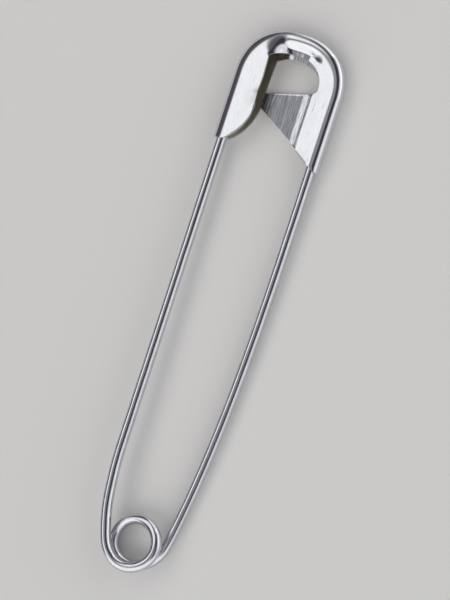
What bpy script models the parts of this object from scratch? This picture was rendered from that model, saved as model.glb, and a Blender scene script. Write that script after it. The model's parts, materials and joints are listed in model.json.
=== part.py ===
"""A closed safety pin: one bent spring wire with a coil, and a guard folded from one sheet.

Run with blender --background --python part.py, or from Blender's text editor.
Lengths are in metres. The pin lies flat on z = 0 with its guard towards +Y.
The sizes below are given in the pin's own frame: X = 0 midway between the two arms at the guard,
Y = 0 at the coil's centre and Z = 0 on the guard's middle plane.
"""

import math
from collections import namedtuple

import bmesh
import bpy
import numpy as np

Station = namedtuple("Station", "rim front back crimp press step lobe")

# Wire
WIRE_DIAMETER = 0.00110
POINT_LENGTH = 0.00600
POINT_TIP_RADIUS = 0.00006
WIRE_SEAM = 0.00006
FOOT_CLEARANCE = 0.00007

# Guard sheet, and its clearances to the wire in its pressed fold and in its open channel
SHEET_THICKNESS = 0.00028
WIRE_CLEARANCE = 0.00005
ARM_CLEARANCE = 0.00030
PRESSED_GAP = 0.00004
FRONT_CRIMP_WIDTH = 0.00240
CRIMP_SOFT_SHARE = 0.15
BACK_CRIMP_WIDTH = 0.00135
OPEN_FOLD_DEPTH = 0.00200
FOLD_POWER = 2.4
LOBE_SLOPE = 0.09

# Layout of the two arms. Lifts and drops are measured from the dome's base
ARM_SPACING = 0.01004
COIL_OFFSET = 0.00031
COIL_RADIUS = 0.00238
COIL_TURN_GAP = 0.00042
SPINE_BOW_POWER = 3.2
SPINE_HOOK = 0.00010
SPINE_HOOK_LENGTH = 0.00250
PIVOT_LEAD = 0.00185
ARM_TIP_LIFT = 0.00110
ARM_SEAT_DROP = 0.00240

# Guard outline, seen from the front
DOME_BASE_Y = 0.04840
DOME_HEIGHT = 0.00558
DOME_POWER = 2.25
LOBE_DROP = 0.00700
LOBE_EDGE_X = -0.00230
LOBE_CORNER_DROP = 0.00330
LOBE_POWER = 1.65
LOBE_FLAT_SHARE = 0.25
BACK_FLAT_SHARE = 0.15
SLANT_APEX_X = -0.00238
SLANT_APEX_DROP = 0.00280
SLANT_RIM_DROP = 0.00766
FLAP_EDGE_X = 0.00287

# Window through the guard. Its points are measured from the middle of the dome's base
WINDOW_X = -0.00002
WINDOW_LIFT = 0.00050
WINDOW_HALF_WIDTH = 0.00330
WINDOW_RISE = 0.00270
WINDOW_POWER = 2.2
WINDOW_CORNER_DEGREES = 137.0
WINDOW_FOOT_ROUND = 0.00100
WINDOW_FOOT_DROP = 0.00062
WINDOW_FOOT_SHARE = 0.125
WINDOW_FOOT_LEFT = (-0.00240, -0.00130)
WINDOW_SIDE_LEFT = (-0.00236, 0.00020)
FLAP_TOP_DEGREES = -56.0
BACK_LIP = 0.00045

# Where the crimp starts and is complete, going right over the dome, at the fold and at the cheeks' edges
CRIMP_FROM_X = -0.00470
CRIMP_TO_X = -0.00210
PRESS_FROM_X = -0.00490
PRESS_TO_X = -0.00040
WIRE_END_DEGREES = 109.0

# Where the back sheet steps down from the pressed fold to the channel's floor, going left
STEP_FROM_X = 0.00390
STEP_TO_X = 0.00160
STEP_END_DEGREES = 30.0

# The arm's bend from the coil to the pivot, as shares of the coil's radius from its centre
ARM_BEND_SHARES = (
    (-0.6330, -0.9150),
    (-0.9130, -0.6680),
    (-1.1030, -0.3820),
    (-1.2850, 0.0800),
    (-1.5470, 0.9830),
    (-1.7080, 2.0042),
    (-1.7870, 2.7941),
)

# Coil turns, in degrees clockwise from the coil's right side
COIL_START = 0.0
COIL_SETTLED = 90.0
COIL_RISE_FROM = 180.0
COIL_RISE_TO = 360.0
COIL_RELEASE = 470.0
COIL_END_STEP = 2.0
BEND_LEAD_DEGREES = (16.0, 8.0)

# How much wider the coil's turns get towards the spine and the arm, and the layers' shifts to the right
COIL_SPREAD_SHARE = 0.250
COIL_SPREAD_POWER = 3.0
FRONT_SPREAD_SHARE = 0.115
FRONT_SPREAD_FROM = 378.0
FRONT_SPREAD_TO = 475.0
BACK_SHIFT = -0.00019
BACK_SHIFT_AT = 130.0
FRONT_SHIFT = 0.00027

# Counts
TURN_POINTS = 24
COIL_BEVEL_STEPS = 1
WIRE_BEVEL_STEPS = 3
SPINE_POINTS = 30
DOME_WIRE_POINTS = 22
BEND_POINTS = 22
BEND_END_STEPS = 2
ROUTE_FINENESS = 8
ARM_POINTS = 16
TAPER_POINTS = 6
BALL_POINTS = 5
CUP_SEGMENTS = 24
LEG_ROWS = 6
LEFT_UPPER_ROWS = 2
DOME_ROWS = 24
CORNER_ROWS = 6
FOLD_STEPS = 5
CHEEK_STEPS = 8
WEB_COLUMNS = 12
SHARP_EDGE_DEGREES = 40.0
SAME_STRETCH_DIAMETERS = 4

# Finish
WIRE_COLOUR = (0.71, 0.72, 0.745)
WIRE_ROUGHNESS = 0.18
SHEET_COLOUR = (0.71, 0.72, 0.745)
SHEET_ROUGHNESS = 0.22

# Sizes that follow
WIRE_RADIUS = WIRE_DIAMETER / 2
HALF_SHEET = SHEET_THICKNESS / 2
CHANNEL_HALF_GAP = WIRE_RADIUS + ARM_CLEARANCE
GUARD_HALF_DEPTH = CHANNEL_HALF_GAP + SHEET_THICKNESS
OPEN_BEND = CHANNEL_HALF_GAP + HALF_SHEET
TIGHT_BEND = WIRE_RADIUS + WIRE_CLEARANCE + HALF_SHEET
CRIMP_DROP = OPEN_BEND - TIGHT_BEND
PRESSED_LEVEL = (PRESSED_GAP + SHEET_THICKNESS) / 2
ARM_X = ARM_SPACING / 2
RIM_X = ARM_X + TIGHT_BEND
DOME_RISE = DOME_HEIGHT - HALF_SHEET
GUARD_TOP = DOME_BASE_Y + DOME_HEIGHT
LOBE_BOTTOM_Y = DOME_BASE_Y - LOBE_DROP
SLANT_APEX_Y = DOME_BASE_Y - SLANT_APEX_DROP
SLANT_RIM_Y = DOME_BASE_Y - SLANT_RIM_DROP
ARM_TIP_Y = DOME_BASE_Y + ARM_TIP_LIFT
ARM_SEAT_Y = DOME_BASE_Y - ARM_SEAT_DROP
ARM_PIVOT_Y = ARM_BEND_SHARES[-1][1] * COIL_RADIUS + PIVOT_LEAD
BACK_LAYER_Z = WIRE_RADIUS - GUARD_HALF_DEPTH
FRONT_LAYER_Z = BACK_LAYER_Z + WIRE_DIAMETER + COIL_TURN_GAP


def ease(share):
    """0 to 1 with level ends."""
    share = min(max(share, 0.0), 1.0)
    return share * share * (3 - 2 * share)


def blend(first, second, share):
    return first + (second - first) * share


def steady(share, soft_share):
    """0 to 1 at an even slope, with short soft ends."""
    share = min(max(share, 0.0), 1.0)
    rise = 1 / (1 - soft_share)
    if share < soft_share:
        return rise * share * share / (2 * soft_share)
    if share > 1 - soft_share:
        return 1 - rise * (1 - share) ** 2 / (2 * soft_share)
    return rise * (share - soft_share / 2)


def rounded(centre, half_width, rise, power, degrees):
    """A point of a superellipse, counted anticlockwise from its right side."""
    across = math.cos(math.radians(degrees))
    up = math.sin(math.radians(degrees))
    return np.array(
        (
            centre[0] + half_width * math.copysign(abs(across) ** (2 / power), across),
            centre[1] + rise * math.copysign(abs(up) ** (2 / power), up),
        )
    )


def on_dome(place):
    """A place in the pin's frame, from one that is measured from the middle of the dome's base."""
    return np.array((place[0], DOME_BASE_Y + place[1]))


def dome_point(degrees):
    """The guard's outline over the dome, at the middle of the sheet."""
    return rounded(on_dome((0, 0)), RIM_X, DOME_RISE, DOME_POWER, degrees)


def inward_normal(rim):
    """The direction square to the guard's outline at a point of it, towards the inside."""
    outward = rim - on_dome((0, 0))
    outward[1] = max(outward[1], 0.0)
    slope = np.abs(outward / np.array((RIM_X, DOME_RISE))) ** (DOME_POWER - 1)
    normal = np.copysign(slope / np.array((RIM_X, DOME_RISE)), outward)
    return -normal / np.linalg.norm(normal)


def window_point(degrees, lip=0.0):
    """The window's edge, anticlockwise from its right side. Below 0 it is the lower right corner."""
    centre = on_dome((WINDOW_X, WINDOW_LIFT))
    if degrees < 0:
        corner = centre + np.array((WINDOW_HALF_WIDTH - WINDOW_FOOT_ROUND, 0.0))
        return rounded(corner, WINDOW_FOOT_ROUND, WINDOW_FOOT_DROP, WINDOW_POWER, degrees)
    upper = lip * ease(math.sin(math.radians(degrees)))
    return rounded(centre, WINDOW_HALF_WIDTH - upper, WINDOW_RISE - upper, WINDOW_POWER, degrees)


def window_foot_y(x):
    """The window's lower edge, which rises round a corner at its right end."""
    foot_left, foot_right = on_dome(WINDOW_FOOT_LEFT), window_point(-90.0)
    along = (x - foot_left[0]) / (foot_right[0] - foot_left[0])
    if along < 1:
        return blend(foot_left[1], foot_right[1], along)
    across = (x - foot_right[0]) / WINDOW_FOOT_ROUND
    lift = 1 - (1 - across**WINDOW_POWER) ** (1 / WINDOW_POWER)
    return foot_right[1] + WINDOW_FOOT_DROP * lift


def crimp_at(x):
    """0 where the fold is an open channel, 1 where it is pressed round the wire."""
    return ease((x - CRIMP_FROM_X) / (CRIMP_TO_X - CRIMP_FROM_X))


def press_at(x):
    """0 where the cheeks' edges stand apart, 1 where they are pressed together."""
    return ease((x - PRESS_FROM_X) / (PRESS_TO_X - PRESS_FROM_X))


def stepped_down(x):
    """0 where the back sheet is pressed against the front, 1 where it is the channel's floor."""
    return ease((STEP_FROM_X - x) / (STEP_FROM_X - STEP_TO_X))


def guard_stations():
    """Cross-sections of the guard, from the foot of its right side over the dome to its left foot."""
    flap_top = window_point(FLAP_TOP_DEGREES)
    foot_left = on_dome(WINDOW_FOOT_LEFT)
    side_left = on_dome(WINDOW_SIDE_LEFT)
    apex = np.array((SLANT_APEX_X, SLANT_APEX_Y))
    lobe_corner = np.array((LOBE_EDGE_X, DOME_BASE_Y - LOBE_CORNER_DROP))
    slant_share = (FLAP_EDGE_X - SLANT_APEX_X) / (RIM_X - SLANT_APEX_X)
    flap_foot = np.array((FLAP_EDGE_X, blend(SLANT_APEX_Y, SLANT_RIM_Y, slant_share)))
    stations = []
    for row in range(LEG_ROWS + 1):
        share = row / LEG_ROWS
        rim = np.array((RIM_X, blend(SLANT_RIM_Y, DOME_BASE_Y, share)))
        inner = blend(flap_foot, flap_top, share)
        stations.append(Station(rim, inner, inner, 1.0, 1.0, 1.0, 0.0))
    for row in range(1, DOME_ROWS + 1):
        share = row / DOME_ROWS
        degrees = WINDOW_CORNER_DEGREES * share
        rim = dome_point(degrees)
        if share < WINDOW_FOOT_SHARE:
            front = back = window_point(FLAP_TOP_DEGREES * (1 - share / WINDOW_FOOT_SHARE))
        else:
            turned = WINDOW_CORNER_DEGREES * (share - WINDOW_FOOT_SHARE) / (1 - WINDOW_FOOT_SHARE)
            front, back = window_point(turned), window_point(turned, BACK_LIP)
        step = 1 - ease(degrees / STEP_END_DEGREES)
        stations.append(Station(rim, front, back, crimp_at(rim[0]), press_at(rim[0]), step, 0.0))
    front_corner = window_point(WINDOW_CORNER_DEGREES)
    back_corner = window_point(WINDOW_CORNER_DEGREES, BACK_LIP)
    for row in range(1, CORNER_ROWS + 1):
        share = row / CORNER_ROWS
        rim = dome_point(blend(WINDOW_CORNER_DEGREES, 180.0, share))
        front, back = blend(front_corner, side_left, share), blend(back_corner, side_left, share)
        stations.append(Station(rim, front, back, crimp_at(rim[0]), press_at(rim[0]), 0.0, 0.0))
    for row in range(1, LEFT_UPPER_ROWS + LEG_ROWS + 1):
        share = row / (LEFT_UPPER_ROWS + LEG_ROWS)
        rim = np.array((-RIM_X, blend(DOME_BASE_Y, LOBE_BOTTOM_Y, share)))
        if row <= LEFT_UPPER_ROWS:
            front = back = blend(side_left, foot_left, row / LEFT_UPPER_ROWS)
        else:
            down = (row - LEFT_UPPER_ROWS) / LEG_ROWS
            front = blend(foot_left, lobe_corner, down)
            back = blend(foot_left, apex, down)
        stations.append(Station(rim, front, back, 0.0, 0.0, 0.0, share * share))
    return stations


def section_side(station, side):
    """Points of one cheek from the rim inwards. side is 1 for the front and -1 for the back.

    Insets and reach are measured square to the guard's outline.
    """
    inner = station.front if side > 0 else station.back
    flat_share = LOBE_FLAT_SHARE if side > 0 else BACK_FLAT_SHARE
    depth = blend(OPEN_FOLD_DEPTH, TIGHT_BEND, station.crimp)
    fold_rise = blend(OPEN_BEND, TIGHT_BEND, station.crimp)
    reach = (inner - station.rim) @ inward_normal(station.rim)
    levels = []
    for step in range(1, FOLD_STEPS + 1):
        turn = math.radians(90.0 * step / FOLD_STEPS)
        inset = depth * (1 - math.cos(turn) ** (2 / FOLD_POWER))
        levels.append((inset, fold_rise * math.sin(turn) ** (2 / FOLD_POWER), station.crimp))
    for step in range(1, CHEEK_STEPS + 1):
        across = (1 - math.cos(math.radians(180.0 * step / CHEEK_STEPS))) / 2
        inset = blend(depth, reach, across)
        crimp = blend(station.crimp, station.press, ease(across))
        rise = blend(OPEN_BEND, TIGHT_BEND, crimp)
        if side > 0:
            dropped = steady((inset - depth) / FRONT_CRIMP_WIDTH, CRIMP_SOFT_SHARE)
        else:
            dropped = ease((inset - depth) / BACK_CRIMP_WIDTH)
        levels.append((inset, blend(rise, blend(OPEN_BEND, PRESSED_LEVEL, crimp), dropped), crimp))
    points = []
    for inset, height, crimp in levels:
        share = inset / reach
        curved = max(share - flat_share, 0.0) / (1 - flat_share)
        lobe = 1 - max(1 - curved**LOBE_POWER, 0.0) ** (1 / LOBE_POWER)
        x = blend(station.rim[0], inner[0], share)
        y = blend(station.rim[1], inner[1], blend(share, lobe, station.lobe))
        z = side * height - CRIMP_DROP * crimp
        if side > 0:
            z += LOBE_SLOPE * inset * (1 - crimp)
        else:
            z = blend(z, -OPEN_BEND, stepped_down(x) * station.step)
        points.append((x, y, z))
    return points


def guard_mesh():
    """The guard's middle surface: the folded band, and the web behind the window's foot."""
    sheet = bmesh.new()
    sections = []
    for station in guard_stations():
        middle = [(station.rim[0], station.rim[1], -CRIMP_DROP * station.crimp)]
        outline = section_side(station, 1)[::-1] + middle + section_side(station, -1)
        sections.append([sheet.verts.new(point) for point in outline])
    for first, second in zip(sections, sections[1:]):
        for a, b, c, d in zip(first, first[1:], second[1:], second):
            sheet.faces.new((a, b, c, d))
    web = []
    for row in range(LEG_ROWS + 1):
        right = sections[row][-1]
        left = sections[-1 - row][-1]
        line = [right]
        for column in range(1, WEB_COLUMNS):
            place = right.co.lerp(left.co, column / WEB_COLUMNS)
            place.z = blend(-PRESSED_LEVEL - CRIMP_DROP, -OPEN_BEND, stepped_down(place.x))
            if row == LEG_ROWS:
                place.y = window_foot_y(place.x)
            line.append(sheet.verts.new(place))
        web.append(line + [left])
    for first, second in zip(web, web[1:]):
        for a, b, c, d in zip(first, first[1:], second[1:], second):
            sheet.faces.new((a, b, c, d))
    bmesh.ops.recalc_face_normals(sheet, faces=sheet.faces)
    mesh = bpy.data.meshes.new("guard")
    sheet.to_mesh(mesh)
    sheet.free()
    return mesh


def smooth_route(points, count):
    """Evenly counted points of a natural cubic spline through the given ones."""
    points = np.array(points, float)
    steps = np.linalg.norm(np.diff(points, axis=0), axis=1)
    knots = np.concatenate(([0.0], np.cumsum(steps)))
    final = len(points) - 1
    matrix = np.zeros((final + 1, final + 1))
    target = np.zeros_like(points)
    matrix[0, 0] = matrix[-1, -1] = 1.0
    for i in range(1, final):
        before, after = steps[i - 1], steps[i]
        matrix[i, i - 1 : i + 2] = before, 2 * (before + after), after
        rise = (points[i + 1] - points[i]) / after - (points[i] - points[i - 1]) / before
        target[i] = 6 * rise
    curvature = np.linalg.solve(matrix, target)
    route = []
    for place in np.linspace(0, knots[-1], count):
        i = min(np.searchsorted(knots, place, side="right"), final) - 1
        step, ahead, back = steps[i], knots[i + 1] - place, place - knots[i]
        bent = (curvature[i] * ahead**3 + curvature[i + 1] * back**3) / (6 * step)
        start = (points[i] / step - curvature[i] * step / 6) * ahead
        end = (points[i + 1] / step - curvature[i + 1] * step / 6) * back
        route.append(bent + start + end)
    return np.array(route)


def coil_point(degrees):
    """A point of the coil, clockwise from its right side, climbing from the back layer to the front."""
    unsettled = max(1 - degrees / COIL_SETTLED, 0.0)
    released = ease((degrees - FRONT_SPREAD_FROM) / (FRONT_SPREAD_TO - FRONT_SPREAD_FROM))
    spread = COIL_SPREAD_SHARE * unsettled**COIL_SPREAD_POWER + FRONT_SPREAD_SHARE * released
    radius = COIL_RADIUS * (1 + spread)
    climb = ease((degrees - COIL_RISE_FROM) / (COIL_RISE_TO - COIL_RISE_FROM))
    back_shift = BACK_SHIFT * ease(degrees / BACK_SHIFT_AT)
    onward = ease((degrees - BACK_SHIFT_AT) / (COIL_RISE_TO - BACK_SHIFT_AT))
    shift = blend(back_shift, FRONT_SHIFT * (1 - released), onward)
    turn = math.radians(degrees)
    return np.array(
        (
            shift - COIL_OFFSET + radius * math.cos(turn),
            -radius * math.sin(turn),
            blend(BACK_LAYER_Z, FRONT_LAYER_Z, climb),
        )
    )


def arm_point(y):
    """A point of the straight arm, which lies against the channel's wall at its seat."""
    start = arm_start()
    share = (y - start[1]) / (ARM_SEAT_Y - start[1])
    return np.array((blend(start[0], -ARM_X, share), y, blend(start[2], 0.0, share)))


def arm_start():
    """The pivot between the arm's bend and its straight stretch."""
    last = np.array(ARM_BEND_SHARES[-1]) * COIL_RADIUS
    before = np.array(ARM_BEND_SHARES[-2]) * COIL_RADIUS
    x = last[0] - COIL_OFFSET
    lean = (last[0] - before[0]) / (last[1] - before[1]) / 2
    height = FRONT_LAYER_Z * (ARM_SEAT_Y - ARM_PIVOT_Y) / ARM_SEAT_Y
    return np.array((x + lean * (ARM_PIVOT_Y - last[1]), ARM_PIVOT_Y, height))


def spine_route():
    """The fixed side: from its end inside the dome, round the rim and down to the coil."""
    route = []
    for point in range(DOME_WIRE_POINTS):
        degrees = blend(WIRE_END_DEGREES, 0.0, point / DOME_WIRE_POINTS)
        rim = dome_point(degrees)
        place = rim + inward_normal(rim) * TIGHT_BEND
        route.append((place[0], place[1], -CRIMP_DROP * crimp_at(rim[0])))
    end = coil_point(COIL_START)
    for point in range(SPINE_POINTS + 1):
        y = blend(DOME_BASE_Y, end[1], point / SPINE_POINTS)
        share = max((SLANT_RIM_Y - y) / (SLANT_RIM_Y - end[1]), 0.0)
        hook = SPINE_HOOK * max(1 - (y - end[1]) / SPINE_HOOK_LENGTH, 0.0) ** 2
        x = blend(ARM_X, end[0] + SPINE_HOOK, share**SPINE_BOW_POWER) - hook
        route.append((x, y, blend(-CRIMP_DROP, end[2], share)))
    return np.array(route)


def coil_route():
    count = round(TURN_POINTS * (COIL_RELEASE - COIL_START) / 360)
    turns = list(np.linspace(COIL_START, COIL_RELEASE, count + 1))
    turns.insert(1, COIL_START + COIL_END_STEP)
    turns.insert(-1, COIL_RELEASE - COIL_END_STEP)
    return np.array([coil_point(degrees) for degrees in turns])


def bend_route():
    """The arm's bend: off the coil's front layer and up to the pivot."""
    leave = coil_point(COIL_RELEASE)
    start = arm_start()
    knots = [coil_point(COIL_RELEASE - lead) for lead in BEND_LEAD_DEGREES] + [leave]
    for across, up in ARM_BEND_SHARES:
        y = up * COIL_RADIUS
        fall = (y - leave[1]) / (start[1] - leave[1])
        z = blend(FRONT_LAYER_Z, start[2], ease(fall) * fall)
        knots.append(np.array((across * COIL_RADIUS - COIL_OFFSET, y, z)))
    knots += [start, arm_point(start[1] + 2 * WIRE_DIAMETER)]
    route = smooth_route(knots, BEND_POINTS * ROUTE_FINENESS)
    begun = np.argmin(np.linalg.norm(route - leave, axis=1))
    ended = np.argmin(np.linalg.norm(route - start, axis=1))
    chosen = np.linspace(begun, ended, BEND_POINTS).round().astype(int)
    chosen = np.insert(chosen, 1, begun + BEND_END_STEPS)
    bend = route[chosen]
    bend[0], bend[-1] = leave, start
    return bend


def shortened(route, start, end):
    """The route with its first and last points moved in along it by the two lengths."""
    route = route.copy()
    first = route[1] - route[0]
    last = route[-2] - route[-1]
    route[0] += first / np.linalg.norm(first) * start
    route[-1] += last / np.linalg.norm(last) * end
    return route


def footprint_middle_y():
    """Halfway between the guard's top and the lowest side of the coil and the arm's bend."""
    lowest = min(coil_route()[:, 1].min(), bend_route()[:, 1].min()) - WIRE_RADIUS
    return (GUARD_TOP + lowest) / 2


def metal(name, colour, roughness):
    material = bpy.data.materials.new(name)
    material.use_nodes = True
    shader = material.node_tree.nodes["Principled BSDF"]
    shader.inputs["Base Color"].default_value = (*colour, 1.0)
    shader.inputs["Roughness"].default_value = roughness
    shader.inputs["Metallic"].default_value = 1.0
    return material


def wire_object(name, route, radius_shares, bevel_steps, material, parent, origin):
    """A wire along the route, as a curve with a round section and filled ends."""
    curve = bpy.data.curves.new(name, "CURVE")
    curve.dimensions = "3D"
    curve.fill_mode = "FULL"
    curve.bevel_depth = WIRE_RADIUS
    curve.bevel_resolution = bevel_steps
    curve.use_fill_caps = True
    curve.render_resolution_u = 0
    spline = curve.splines.new("POLY")
    spline.points.add(len(route) - 1)
    for point, place, share in zip(spline.points, route, radius_shares):
        point.co = (*(place - origin), 1.0)
        point.radius = share
    spline.use_smooth = True
    curve.materials.append(material)
    wire = bpy.data.objects.new(name, curve)
    return placed(wire, parent, origin)


def placed(thing, parent, origin):
    """Links the object under its parent, with its own origin at a place in the pin's frame."""
    bpy.context.scene.collection.objects.link(thing)
    thing.parent = parent
    base = np.array(parent["place"]) if parent else np.zeros(3)
    thing.location = origin - base
    return thing


def axis_empty(name, parent, place):
    empty = bpy.data.objects.new(name, None)
    placed(empty, parent, np.array(place))
    empty["place"] = [float(value) for value in place]
    return empty


def make_guard(material, parent):
    guard = placed(bpy.data.objects.new("cap", guard_mesh()), parent, np.zeros(3))
    guard.data.materials.append(material)
    thick = guard.modifiers.new("sheet", "SOLIDIFY")
    thick.thickness = SHEET_THICKNESS
    thick.offset = 0
    thick.use_even_offset = True
    guard.data.shade_smooth()
    guard.data.set_sharp_from_angle(angle=math.radians(SHARP_EDGE_DEGREES))


def make_spine(material, parent):
    route = shortened(spine_route(), 0, WIRE_SEAM)
    shares = [1.0] * len(route)
    wire_object("spine_wire", route, shares, WIRE_BEVEL_STEPS, material, parent, np.zeros(3))


def make_coil(material, parent):
    route = coil_route()
    shares = [1.0] * len(route)
    steps = COIL_BEVEL_STEPS
    wire_object("coil_spring", route, shares, steps, material, parent, np.zeros(3))


def make_arm_root(material, parent):
    """The arm's lower bend, hollowed at its end to take the straight arm's round foot."""
    origin = np.array(parent["place"])
    route = bend_route()
    socket_radius = WIRE_RADIUS + FOOT_CLEARANCE
    rim_depth = math.sqrt(socket_radius**2 - WIRE_RADIUS**2)
    cut = shortened(route, WIRE_SEAM, rim_depth)
    shares = [1.0] * len(cut)
    tube = wire_object("arm_bend_curve", cut, shares, WIRE_BEVEL_STEPS, material, parent, origin)
    bpy.context.view_layer.update()
    graph = bpy.context.evaluated_depsgraph_get()
    mesh = bpy.data.meshes.new_from_object(tube.evaluated_get(graph))
    bpy.data.objects.remove(tube)
    mesh.name = "arm_root"
    root = placed(bpy.data.objects.new("arm_root", mesh), parent, origin)
    ball = bmesh.new()
    bmesh.ops.create_uvsphere(
        ball, u_segments=CUP_SEGMENTS, v_segments=CUP_SEGMENTS // 2, radius=socket_radius
    )
    cutter_mesh = bpy.data.meshes.new("socket_cutter")
    ball.to_mesh(cutter_mesh)
    ball.free()
    cutter = placed(bpy.data.objects.new("socket_cutter", cutter_mesh), parent, route[-1])
    cutter.hide_render = True
    cutter.display_type = "WIRE"
    socket = root.modifiers.new("socket", "BOOLEAN")
    socket.operation = "DIFFERENCE"
    socket.solver = "EXACT"
    socket.object = cutter


def make_arm(material, parent):
    """The straight arm: a round foot at the pivot, a plain stretch and a ground point."""
    origin = np.array(parent["place"])
    tip = arm_point(ARM_TIP_Y)
    along = (tip - origin) / np.linalg.norm(tip - origin)
    length = np.linalg.norm(tip - origin)
    places, shares = [], []
    for step in range(BALL_POINTS):
        turn = math.radians(90.0 * (step + 1 / 2) / BALL_POINTS)
        places.append(-WIRE_RADIUS * math.cos(turn))
        shares.append(math.sin(turn))
    for step in range(ARM_POINTS + 1):
        places.append((length - POINT_LENGTH) * step / ARM_POINTS)
        shares.append(1.0)
    tip_share = POINT_TIP_RADIUS / WIRE_RADIUS
    for step in range(1, TAPER_POINTS + 1):
        share = step / TAPER_POINTS
        places.append(length - POINT_LENGTH * (1 - share))
        shares.append(blend(1.0, tip_share, share**2))
    route = np.array([origin + along * place for place in places])
    wire_object("pin_arm", route, shares, WIRE_BEVEL_STEPS, material, parent, origin)


def least_gap(route):
    """The least clear distance between stretches of the wire that aren't next to each other."""
    steps = np.linalg.norm(np.diff(route, axis=0), axis=1)
    along = np.concatenate(([0.0], np.cumsum(steps)))
    apart = np.linalg.norm(route[:, None] - route[None, :], axis=2)
    distant = np.abs(along[:, None] - along[None, :]) > WIRE_DIAMETER * SAME_STRETCH_DIAMETERS
    return apart[distant].min() - WIRE_DIAMETER


def main():
    for thing in list(bpy.data.objects):
        bpy.data.objects.remove(thing)
    plated = metal("plated_wire", WIRE_COLOUR, WIRE_ROUGHNESS)
    sheet = metal("plated_sheet", SHEET_COLOUR, SHEET_ROUGHNESS)
    pin = bpy.data.objects.new("safety_pin", None)
    bpy.context.scene.collection.objects.link(pin)
    pin.location = (0, -footprint_middle_y(), GUARD_HALF_DEPTH)
    pin["place"] = [0.0, 0.0, 0.0]
    swing = axis_empty("swing_axis", pin, (-COIL_OFFSET, 0, 0))
    pivot = axis_empty("arm_pivot", swing, arm_start())
    make_guard(sheet, pin)
    make_spine(plated, pin)
    make_coil(plated, pin)
    make_arm_root(plated, swing)
    make_arm(plated, pivot)
    whole = np.concatenate((spine_route(), coil_route(), bend_route()))
    for name, place in (("arm_swing", (-COIL_OFFSET, 0, 0)), ("arm_roll", arm_start())):
        print(name, "is at", np.round(np.array(pin.location) + place, 7), "m")
    print("least gap of the coil to itself:", round(least_gap(coil_route()) * 1000, 3), "mm")
    print("least gap of the whole wire to itself:", round(least_gap(whole) * 1000, 3), "mm")


main()
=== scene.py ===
"""Looks of a closed safety pin lying on a pale table: a plated spring wire and a folded sheet guard.

Lengths are in metres. Shapes are worked out in the pin's own frame, in which X = 0 is midway
between the two arms at the guard, Y = 0 is the coil's centre and Z = 0 is the guard's middle plane.
"""

import json
import math
from collections import namedtuple

import bmesh
import bpy
import numpy as np
from mathutils import Matrix, Vector

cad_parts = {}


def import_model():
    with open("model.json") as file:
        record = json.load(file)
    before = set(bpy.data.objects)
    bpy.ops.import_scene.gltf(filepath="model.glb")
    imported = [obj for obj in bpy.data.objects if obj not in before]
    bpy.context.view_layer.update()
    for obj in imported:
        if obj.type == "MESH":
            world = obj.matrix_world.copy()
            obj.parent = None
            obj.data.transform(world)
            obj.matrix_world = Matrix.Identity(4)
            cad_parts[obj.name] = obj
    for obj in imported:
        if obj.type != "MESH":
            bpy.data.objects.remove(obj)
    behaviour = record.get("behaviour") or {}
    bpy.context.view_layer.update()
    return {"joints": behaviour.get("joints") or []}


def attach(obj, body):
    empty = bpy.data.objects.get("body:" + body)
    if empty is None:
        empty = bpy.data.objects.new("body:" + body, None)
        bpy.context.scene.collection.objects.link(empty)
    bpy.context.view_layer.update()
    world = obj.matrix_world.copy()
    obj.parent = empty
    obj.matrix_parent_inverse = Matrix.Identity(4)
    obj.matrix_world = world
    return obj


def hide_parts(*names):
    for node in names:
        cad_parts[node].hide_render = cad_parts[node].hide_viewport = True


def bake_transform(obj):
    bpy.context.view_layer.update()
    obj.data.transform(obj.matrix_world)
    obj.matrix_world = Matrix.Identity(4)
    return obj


MM = 0.001

Station = namedtuple("Station", "rim front back crimp press step lobe fold")

# Wire
WIRE_DIAMETER = 1.10 * MM
POINT_LENGTH = 6.0 * MM
POINT_TIP_RADIUS = 0.05 * MM
WIRE_END_CHAMFER = 0.12 * MM
FOOT_SHARE = 0.998

# Guard sheet, and its clearances to the wire in its pressed fold and in its open channel
SHEET_THICKNESS = 0.28 * MM
WIRE_CLEARANCE = 0.05 * MM
ARM_CLEARANCE = 0.30 * MM
PRESSED_GAP = 0.04 * MM
FRONT_CRIMP_WIDTH = 2.40 * MM
CRIMP_SOFT_SHARE = 0.15
ARCH_CRIMP_DELAY = 0.06 * MM
ARCH_CRIMP_WIDTH = 1.00 * MM
ARCH_SOFT_SHARE = 0.30
ARCH_TO_X = 1.60 * MM
ARCH_FADE = 2.60 * MM
BACK_CRIMP_WIDTH = 1.35 * MM
OPEN_FOLD_DEPTH = 2.0 * MM
FOLD_POWER = 2.4
CUT_EDGE_RADIUS = 0.05 * MM
SHARP_DEGREES = 50.0
LOBE_SLOPE = 0.09
CURL_WIDTH = 1.30 * MM
CURL_DEPTH = 0.036 * MM
CURL_END_SHARE = 0.35

# Layout of the two arms. Lifts and drops are measured from the dome's base
ARM_SPACING = 10.04 * MM
COIL_OFFSET = 0.31 * MM
COIL_RADIUS = 2.38 * MM
COIL_TURN_GAP = 0.42 * MM
SPINE_BOW_POWER = 3.2
SPINE_HOOK = 0.10 * MM
SPINE_HOOK_LENGTH = 2.5 * MM
PIVOT_LEAD = 1.85 * MM
ARM_TIP_LIFT = 1.10 * MM
ARM_SEAT_DROP = 2.40 * MM

# Guard outline, seen from the front
DOME_BASE_Y = 48.40 * MM
DOME_HEIGHT = 5.58 * MM
DOME_POWER = 2.25
LOBE_DROP = 7.00 * MM
LOBE_EDGE_X = -2.30 * MM
LOBE_CORNER_DROP = 3.30 * MM
LOBE_POWER = 1.65
LOBE_FLAT_SHARE = 0.25
BACK_FLAT_SHARE = 0.15
SLANT_APEX_X = -2.38 * MM
SLANT_APEX_DROP = 2.80 * MM
SLANT_RIM_DROP = 7.66 * MM
FLAP_EDGE_X = 2.87 * MM

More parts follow.
